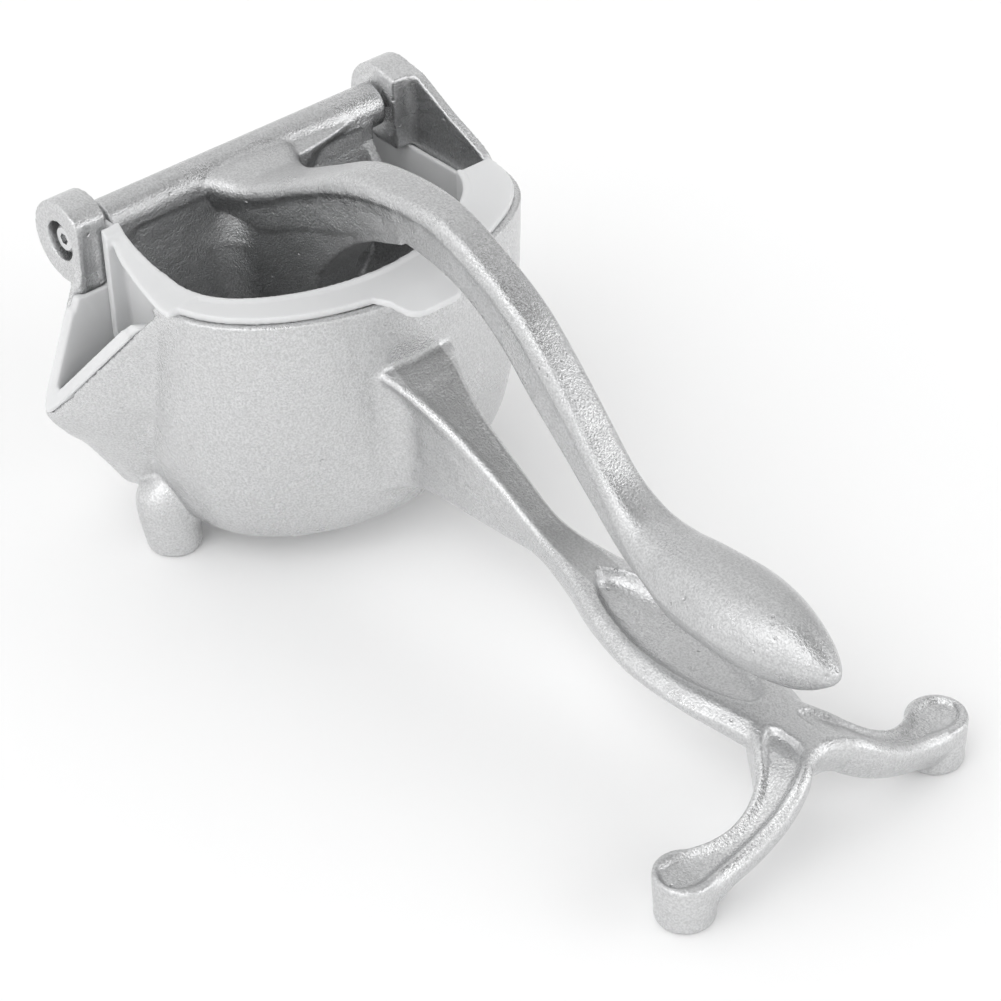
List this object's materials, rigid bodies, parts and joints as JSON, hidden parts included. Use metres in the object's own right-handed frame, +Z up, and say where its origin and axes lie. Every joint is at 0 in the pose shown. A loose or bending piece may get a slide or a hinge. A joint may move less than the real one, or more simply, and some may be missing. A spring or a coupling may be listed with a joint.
{
  "type": "manual citrus press",
  "caption": "Hand citrus press of cast aluminium: cup with side spout, forked handle, hinged lever with press head, plastic strainer basket and cup liner.",
  "frame": {"origin": "middle of the bounding box seen from above, on the table under the pegs and feet", "axes": "+X from the hinge towards the front feet and the grip, +Z up, -Y towards the pouring spout; the hinge axis is parallel to Y"},
  "size_m": [0.2527, 0.1346, 0.1228],
  "materials": {
    "cast_alloy": "sand cast, lightly tumbled, satin",
    "milky_plastic": "milky translucent, satin",
    "steel": "bright zinc plated"
  },
  "bodies": {
    "base": {"body_casting": "cast_alloy", "filter_basket": "milky_plastic", "cup_liner": "milky_plastic", "hinge_bolt": "steel", "hinge_nut": "steel", "hinge_washers": "steel"},
    "lever": {"lever_casting": "cast_alloy"}
  },
  "joints": [
    {"name": "lever_hinge", "type": "hinge", "parent": "base", "child": "lever", "pos_m": [-0.1128, 0.00822, 0.0948], "axis": [0, -1, 0], "range_deg": [0, 105]}
  ]
}
